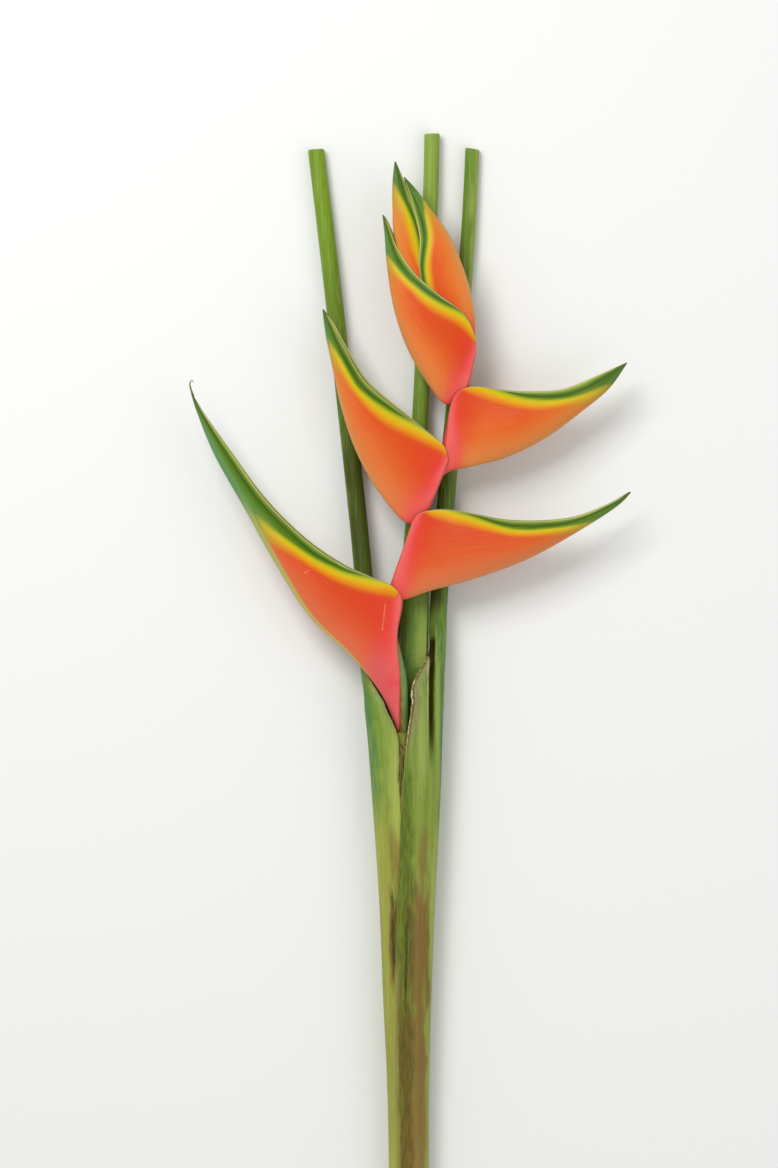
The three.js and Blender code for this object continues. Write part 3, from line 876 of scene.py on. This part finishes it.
# %% Bract material: the body, its base and its tip
depth_share = over(keel, depth)
orange = ramp(
    depth_share,
    (0, (224, 146, 74)),
    (0.1, (222, 132, 60)),
    (0.35, (218, 107, 30)),
    (0.6, (214, 84, 14)),
    (0.9, (208, 68, 8)),
)
coral = ramp(
    depth_share,
    (0, (222, 124, 86)),
    (0.1, (219, 106, 70)),
    (0.35, (214, 82, 44)),
    (0.6, (209, 64, 22)),
    (0.9, (205, 58, 16)),
)
body = mix(rosy, orange, coral)
deep = times(fade(cloud, 0.42, 0.72), fade(depth_share, 0.1, 0.5), 0.35)
body = tint(body, (206, 52, 6), deep)
amber = times(fade(along, 0.5, 0.85), fade(depth_share, 0.9, 0.2), 0.6)
body = tint(body, (208, 134, 36), amber)
red_base = times(fade(along, 0.36, 0.08), fade(depth_share, 0.1, 0.7), 0.85)
body = tint(body, (218, 44, 14), red_base)
body = tint(body, (220, 78, 50), fade(along, 0.3, 0.1), 0.4)
from_stern = plus(measure(shader, "stern"), times(wobble, 4))
from_stern = over(from_stern, fade(rosy, 0.74, 0.9, 1, 1.4))
from_stern = times(from_stern, fade(depth_share, 0.25, 0.85, 0.72, 1.45))
body = tint(body, (224, 62, 66), fade(from_stern, 17, 4), 0.9)
pale_pink = times(fade(from_stern, 12, 2), fade(cloud, 0.28, 0.5))
body = tint(body, (230, 116, 106), pale_pink, 0.55)
tail = times(fade(along, 0.25, 0.1), fade(depth_share, 0.5, 0.1), fade(from_stern, 3, 10, 0.3, 0.8))
tail_pink = mix(fade(rosy, 0.74, 0.9), colour(232, 88, 80), colour(216, 96, 102))
body = mix(tail, body, tail_pink)

dulled = times(fade(depth_share, 0.62, 0.15), fade(along, 0.36, 0.52), 0.75)
yellow = tint(yellow, (184, 158, 52), dulled)

skin = mix(fade(beyond_green, 1.7, 1.1), body, yellow)
lime_start = least(times(green_width, 0.4), 2.6)
inner_edge = over(minus(edge, band_start), lime_start)
skin = mix(fade(inner_edge, 0.3, -1), skin, green)

wax_reach = over(keel, plus(times(waxy, 8), 0.5))
waxy_keel = times(fade(depth_share, 0.46, 0.22), fade(wax_reach, 1, 0.5), waxy)
skin = tint(skin, (92, 144, 84), waxy_keel, 0.9)
keel_width = fade(along, 0.15, 0.5, 2, 5.5)
keel_line = fade(over(keel, keel_width), 1, 0.6)
keel_line = times(keel_line, fade(rosy, 0.74, 0.82, 0.1, 0.85))
keel_line = times(keel_line, fade(along, 0.12, 0.3), fade(along, 0.68, 0.56))
keel_colour = mix(fade(along, 0.25, 0.5), colour(212, 186, 92), colour(178, 182, 92))
skin = mix(keel_line, skin, keel_colour)
darker_tip = fade(plus(along, times(wobble, 0.04)), 0.76, 0.95, 0, 0.45)
skin = tint(skin, (56, 84, 26), darker_tip)
rim_width = fade(along, 0.6, 0.9, 1, 0.55)
rim = fade(over(straight_edge, rim_width), 2, 1)
rim = times(rim, fade(along, 0, 0.05), fade(along, 0.8, 0.93, 0.85, 0.4))
dead_edge = fade(plus(along, times(wobble, 0.02)), 0.925, 0.94)
rim_colour = mix(dead_edge, colour(194, 194, 128), colour(60, 58, 24))
skin = mix(rim, skin, rim_colour)
skin = tint(skin, (66, 62, 30), fade(along, 0.975, 0.995), 0.8)  # the dried tip

# %% Bract material: fine grain, specks, scuffs and the inside of the boat
SCUFF_WIDTH, SCUFF_ABOVE = 1.6, (0.04, 0.046)  # heights at which they set in, on the upper cheek
SCUFFS = [((-21.2, 97), (-24, 71)), ((-94.5, 123), (-88.5, 126.5))]  # ends of two pale scuffs, in mm
form = add_node(shader, "ShaderNodeCombineXYZ", {0: times(along, 6), 1: times(depth_share, 44)})
fibre = effect(grain_group, "Fibre", form, Fineness=1)
streak = times(fade(fibre, 0.45, 0.75), fade(along, 0.15, 0.45), 0.1)
skin = tint(skin, (236, 160, 90), streak)
freckles = effect(freckle_group, "Mask", place, Scale=120, Size=0.1)
skin = tint(skin, (140, 52, 20), freckles, 0.35)
above = coordinate(place, "Z")
patches = clouds(place, 900, 2)
for start, end in SCUFFS:
    run = Vector(end) - Vector(start)
    line = {"Vector": place, "Location": (start[0] * MM, start[1] * MM, 0)}
    line["Rotation"] = (0, 0, math.atan2(run.y, run.x))
    line["Scale"] = (run.length * MM, SCUFF_WIDTH * MM, 1)
    local = add_node(shader, "ShaderNodeMapping", line, vector_type="TEXTURE")
    share = coordinate(local, "X")
    away = maths("ABSOLUTE", coordinate(local, "Y"))
    ends = times(fade(share, 0, 0.08), fade(share, 1, 0.92))
    scuff = times(ends, fade(away, 0.5, 0.2), fade(patches, 0.4, 0.55), fade(above, *SCUFF_ABOVE))
    skin = tint(skin, (244, 190, 160), scuff, 0.35)
linings = [(0, (168, 176, 84)), (6, (196, 190, 96)), (16, (222, 160, 90)), (40, (226, 128, 96))]
lining = ramp(straight_edge, *linings)
skin = mix(times(measure(shader, "inside"), 0.85), skin, lining)
pores = clouds(place, 1400, 2)
relief = plus(fibre, times(pores, 0.25))
wax = fade(cloud, 0.3, 0.7, 0.4, 0.52)
feed(shader, Base_Color=skin, Normal=bump(relief, 0.16), Roughness=wax)
print("bract material has", len(bract_material.node_tree.nodes), "nodes")

# %% Build the bracts
for number, name in enumerate(BRACT_STATIONS):
    piece = bent_sheet(name + "_skin", 100, 70, bract_skin(name, number * 7.3))
    finish_piece(piece, name, [bract_material])

# %% [markdown]
# ## The skin of the leaf stalks
# Stalks and sheaths are smooth and green, with fine fibres along them. Further down they turn
# olive and carry brown bruises. A sheath's margin dries to a tan rim, and a cut face shows pale
# wet tissue with rows of air channels. Each stalk has its own greens, and they are darker where
# it lies under the bracts: that darkness is painted shade.


# %% Stalk materials
def leaf_stalk_material(name, upper, middle, low, foot):
    """A leaf stalk's skin, in four tones from its cut upper end down to the foot."""
    material, shader = new_material(name)
    cool, pale, bruised, soot, scarred, shade = measure(shader, *MARKS)
    dry, straight_edge, gap, inside = measure(shader, "dry", "edge", "gap", "inside")
    place = object_place(shader)
    height = coordinate(place, "Y")
    lengthwise = stretched(place, (1, 0.02, 1))
    fibre = effect(grain_group, "Fibre", lengthwise, Fineness=700)
    cloud = effect(grain_group, "Cloud", lengthwise, Fineness=700)
    skin = ramp(height, (-0.16, foot), (0, low), (0.2, middle), (0.45, upper))
    # bluish side; low on the right stalk its stripe is a painted highlight
    skin = tint(skin, (58, 116, 62), cool, 0.7)
    skin = tint(skin, (74, 104, 26), fade(cloud, 0.42, 0.7), 0.35)
    # pale strips: painted highlights where light falls on the stalk
    skin = tint(skin, (172, 186, 96), pale, 0.4)
    skin = tint(skin, (176, 192, 104), fade(fibre, 0.42, 0.7), 0.22)
    # painted shade where the stalk lies in the shade of the bracts and beside the gap
    skin = tint(skin, (56, 66, 8), shade, 0.8)

    patches = {"place": stretched(place, (1, 0.22, 1)), "Scale": 95, "Patchiness": 2.6}
    bruise = effect(bruise_group, "Mask", **patches, Amount=bruised)
    browns = ramp(height, (-0.4, (150, 108, 58)), (-0.25, (130, 88, 44)), (-0.1, (118, 74, 36)))
    browns = tint(browns, (104, 84, 34), fade(cloud, 0.35, 0.6), 0.6)
    bruise = times(bruise, fade(fibre, 0.35, 0.6, 0.7, 0.9))
    bruise = times(bruise, fade(height, -0.085, -0.19, 0.45, 1))
    skin = mix(bruise, skin, browns)
    soot_colour = mix(fade(height, -0.17, -0.27), colour(76, 98, 10), colour(96, 88, 22))
    skin = mix(times(soot, 0.6), skin, soot_colour)
    specks = {"place": stretched(place, (1, 0.13, 1)), "Scale": 560, "Patchiness": 3.4}
    mottles = effect(bruise_group, "Mask", **specks, Amount=times(soot, 0.55))
    skin = tint(skin, (56, 50, 12), mottles, 0.4)
    streaks = {"place": stretched(place, (1, 0.14, 1)), "Scale": 300, "Patchiness": 3.4}
    scar = effect(bruise_group, "Mask", **streaks, Amount=scarred)
    skin = tint(skin, (56, 42, 14), scar, 0.75)
    freckles = effect(freckle_group, "Mask", place, Scale=300, Size=0.22)
    skin = tint(skin, (52, 56, 16), freckles, 0.6)

    skin = tint(skin, (158, 156, 106), dry, 0.35)
    grey = effect(bruise_group, "Mask", **specks, Amount=times(dry, 0.7))
    skin = tint(skin, (116, 106, 72), grey, 0.45)
    uneven = times(minus(clouds(place, 500, 3), 0.5), 2.2)
    margin = plus(straight_edge, times(uneven, dry))
    from_line = maths("ABSOLUTE", minus(margin, 1.8))
    brown_line = times(fade(from_line, 1.2, 0.4), dry, 0.85)
    skin = tint(skin, (96, 70, 34), brown_line)
    rim_width = fade(dry, 0, 1, 0.9, 1.7)
    rim = times(fade(over(margin, rim_width), 1, 0.5), 0.85)
    patchy = fade(clouds(place, 260, 3), 0.44, 0.58)
    dry_colour = mix(patchy, colour(212, 198, 154), colour(146, 112, 70))
    rim_colour = mix(dry, colour(164, 150, 78), dry_colour)
    aged = fade(height, -0.215, -0.25)
    worn = times(fade(margin, 6, 2), aged, fade(fibre, 0.3, 0.6, 0.4, 0.8))
    skin = tint(skin, (148, 134, 76), worn)
    rim_colour = tint(rim_colour, (216, 206, 160), aged)
    skin = mix(rim, skin, rim_colour)
    # painted highlight on the sheath's lit lip beside the narrow gap
    skin = tint(skin, (206, 196, 150), fade(gap, 0, -1, 0, 0.4))
    # painted shadow in the narrow gap
    skin = tint(skin, (38, 28, 6), fade(gap, 0, 1, 0, 0.94))
    skin = tint(skin, (164, 176, 92), inside, 0.8)
    gloss = fade(cloud, 0.35, 0.7, 0.36, 0.52)
    sheen = fade(gap, 0, 0.5, 0.2, 0)
    feed(shader, Base_Color=skin, Normal=bump(fibre, 0.3), Roughness=gloss, Specular_IOR_Level=sheen)
    return material


cut_material, shader = new_material("fresh_cut", Roughness=0.55, Specular_IOR_Level=0.4)
place = object_place(shader)
channels = add_node(place, "ShaderNodeTexVoronoi", {"Vector": place, "Scale": 620}, "Distance")
tissue = ramp(channels, (0, (96, 104, 52)), (0.3, (168, 174, 104)), (0.8, (206, 206, 148)))
feed(shader, Base_Color=tissue, Normal=bump(channels, 0.5, 0.6))
print("cut material has", len(cut_material.node_tree.nodes), "nodes")

# %% [markdown]
# The flower stalk is green inside the sheaths, brown-red on the side that touches the lowest
# bract, and turns a clear pink where it carries the bracts.

# %% Flower stalk material
flower_gloss = {"Roughness": 0.44, "Specular_IOR_Level": 0.34}
flower_stalk_material, shader = new_material("flower_stalk_skin", **flower_gloss)
place = object_place(shader)
height = coordinate(place, "Y")
lengthwise = stretched(place, (1, 0.03, 1))
fibre = effect(grain_group, "Fibre", lengthwise, Fineness=700)
skin = ramp(
    height,
    (-0.12, (130, 140, 56)),
    (-0.02, (86, 118, 46)),
    (0.045, (92, 138, 70)),
    (0.07, (176, 80, 58)),
    (0.1, (228, 52, 56)),
    (0.16, (230, 62, 66)),
)
brown_side = fade(measure(shader, "side"), 0.05, -0.55)
brown_side = times(brown_side, fade(height, 0.07, 0.03), 0.85)
skin = tint(skin, (134, 62, 20), brown_side)
skin = tint(skin, (224, 170, 120), fade(fibre, 0.45, 0.7), 0.18)
feed(shader, Base_Color=skin, Normal=bump(fibre, 0.2))
print("flower stalk material has", len(flower_stalk_material.node_tree.nodes), "nodes")

# %% Build the stalks
# Tones of each stalk: upper end, middle, low and foot. The dark middle tones are painted shade: there the
# stalks lie under the bracts.
STALK_TONES = {
    "leaf_stalk_right": [(96, 128, 30), (72, 102, 14), (110, 138, 50), (138, 150, 58)],
    "leaf_stalk_left": [(112, 144, 30), (64, 80, 8), (112, 142, 44), (172, 168, 72)],
    "leaf_stalk_middle": [(126, 154, 56), (94, 126, 30), (98, 130, 44), (120, 140, 60)],
}
for name, tones in STALK_TONES.items():
    across = 112 if name == "leaf_stalk_right" else 72  # more where the narrow gap needs them
    piece = bent_sheet(name + "_skin", across, STALK_ROWS, stalk_skin(name))
    skin_material = leaf_stalk_material(name + "_skin", *tones)
    finish_piece(piece, name, [skin_material, cut_material])
flower_rows = [[x, y, axis_height(y), radius] for x, y, radius in FLOWER_STALK]
piece = bent_sheet("flower_stalk_skin", 24, ROUND_ROWS, round_skin(flower_rows))
finish_piece(piece, "flower_stalk", [flower_stalk_material, cut_material])

# %% [markdown]
# ## Dried remains
# Where the two outer sheaths meet, the slit between them is closed by a dried brown skin, still
# green at its top left, with a few loose fibres on it. The tip of the lowest bract ends in a curled
# dead thread. They are small, but they are what a close look at a real stem finds first.

# %% Dried material
dried_material, shader = new_material("dried_fibre", Roughness=0.75, Specular_IOR_Level=0.2)
place = object_place(shader)
lengthwise = stretched(place, (1, 0.08, 1))
fibre = effect(grain_group, "Fibre", lengthwise, Fineness=900)
specks = clouds(stretched(place, (1, 0.4, 1)), 420, 3)
skin = ramp(fibre, (0.3, (74, 70, 24)), (0.5, (112, 106, 44)), (0.7, (152, 144, 80)))
skin = tint(skin, (44, 32, 12), fade(specks, 0.56, 0.66), 0.7)
skin = tint(skin, (134, 148, 52), measure(shader, "living"), 0.9)
feed(shader, Base_Color=skin, Normal=bump(fibre, 0.6, 0.5))

# %% The dried skin in the slit
SLIT = (-100, -20)  # y of its lower and its upper end
SLIT_DEPTH = 1.7  # how far the dried skin lies below the sheaths
UNDER_LEFT, UNDER_RIGHT = 1.2, 1.4  # how far it reaches under them
COLLAR = (-42, -21)  # between these y it rises round the flower stalk
FIBRES = 6


def sheath_row(name, y):
    return row_at(LEAF_STALKS[name], share_at(LEAF_STALKS[name], y))


def sheath_top(x, y):
    """Height of the outside of the right sheath at a place."""
    _, centre, z, wide, high = sheath_row("leaf_stalk_right", y)[:5]
    across = clamp((x - centre) / wide, -1, 1)
    return z + high * math.sqrt(1 - across * across)


def slit_skin(u, v):
    """The place function of the dried skin: its top from left to right, then its underside."""
    y = blend(*SLIT, v)
    share = u * 2 if u <= 0.5 else 2 - u * 2
    left, right = sheath_row("leaf_stalk_left", y), sheath_row("leaf_stalk_right", y)
    left_x = left[1] + left[3] * math.cos(math.radians(left[5])) - UNDER_LEFT
    right_x = max(right[1] + right[3] * math.cos(math.radians(right[6])), left_x + 2) + UNDER_RIGHT
    x = blend(left_x, right_x, share)
    wrinkle = 0.5 * noise.noise(Vector((x / 1.3, y / 14, 3)))
    z = sheath_top(x, y) - SLIT_DEPTH + wrinkle
    z = blend(z, axis_height(y) + 5.2 + 0.4 * wrinkle, smooth(y, *COLLAR))
    thickness = 0.5 * min(1, 12 * min(v, 1 - v), 12 * min(share, 1 - share))
    if u > 0.5:
        z -= thickness
    return Vector((x, y, z)), {"living": smooth(x, -3.6, -4.6) * smooth(y, -33, -28)}


piece = bent_sheet("sheath_slit_skin", 28, 60, slit_skin)
finish_piece(piece, None, [dried_material])


# %% Loose fibres and the dead thread at a tip
def loose_fibre(number):
    """A thin fibre that lies along the slit, as rows of x, y, z and radius."""
    rows = []
    for step in range(6):
        y = -31 - 4 * number - (7 + 1.5 * number) * step
        x = -8.2 + 1.5 * number - 0.35 * step + 0.9 * noise.noise(Vector((number * 3.7, step * 0.8, 0)))
        lift = 0.5 + 0.5 * noise.noise(Vector((number * 2.1, step * 0.9, 7)))
        rows.append([x, y, sheath_top(x, y) - 0.9 + lift, 0.45 if 0 < step < 5 else 0.15])
    return round_skin(rows, 0.2)


fibres = [loose_fibre(number) for number in range(FIBRES)]
piece = bent_sheet("sheath_fibres", 8, ROUND_ROWS, *fibres)
finish_piece(piece, None, [dried_material, dried_material])

# x, y, height above the middle plane, and radius
DEAD_THREAD = [
    [-193, 279, 0, 0.7],
    [-194.3, 282.5, 0.3, 1.2],
    [-195.6, 286.5, 0.6, 1],
    [-196.8, 290.5, 1, 0.8],
    [-197.1, 293.5, 1.8, 0.6],
    [-196.2, 296, 2.4, 0.5],
    [-194.8, 296.4, 2.8, 0.4],
    [-194, 294.6, 3, 0.25],
]
thread_rows = [[x, y, axis_height(y) + z, radius] for x, y, z, radius in DEAD_THREAD]
piece = bent_sheet("bract_1_dead_thread", 10, ROUND_ROWS, round_skin(thread_rows, 0.25))
finish_piece(piece, None, [dried_material, dried_material])

# %% [markdown]
# ## The studio
# The stem lies on a plain pale floor. The camera looks straight down on it from far away, so that
# nothing near is drawn larger than what is far.

# %% Floor
FLOOR_SIZE = 12
bm = bmesh.new()
bmesh.ops.create_grid(bm, x_segments=1, y_segments=1, size=FLOOR_SIZE / 2)
floor = new_object("floor", bm)
floor_material, _ = new_material("floor_paper", Base_Color=colour(236, 237, 234), Roughness=0.8)
floor.data.materials.append(floor_material)
print("the floor is", FLOOR_SIZE, "m wide")

# %% Camera
PICTURE_ROWS, ROW_SIZE = 1168, 0.9  # rows of the render, and the mm that each takes in
LOOK_AT = Vector((-0.018, 0.1134, 0.046))
DISTANCE = 12.0
camera_data = bpy.data.cameras.new("camera")
camera_data.lens = camera_data.sensor_width * DISTANCE / (PICTURE_ROWS * ROW_SIZE * MM)
camera_data.clip_end = 50
camera = bpy.data.objects.new("camera", camera_data)
camera.location = LOOK_AT + Vector((0, 0, DISTANCE))
scene.collection.objects.link(camera)
scene.camera = camera
print("focal length", round(camera_data.lens), "mm")


# %% Light
MIDDLE_OF_STEM = Vector((0, 0.1, 0))
ROOM_LIGHT = 0.55


def area_light(name, location, size, power):
    data = bpy.data.lights.new(name, "AREA")
    data.size, data.energy = size, power
    lamp = bpy.data.objects.new(name, data)
    lamp.location = location
    aim = MIDDLE_OF_STEM - lamp.location
    lamp.rotation_euler = aim.to_track_quat("-Z", "Y").to_euler()
    scene.collection.objects.link(lamp)


area_light("window", Vector((-0.9, 1.4, 2.2)), 1.2, 42)
area_light("fill", Vector((1.6, -0.6, 2.0)), 2.0, 12)
world = bpy.data.worlds.new("soft_room")
world.use_nodes = True
background = world.node_tree.nodes["Background"]
background.inputs["Color"].default_value = (1, 1, 1, 1)
background.inputs["Strength"].default_value = ROOM_LIGHT
scene.world = world
scene.view_settings.view_transform = "Standard"
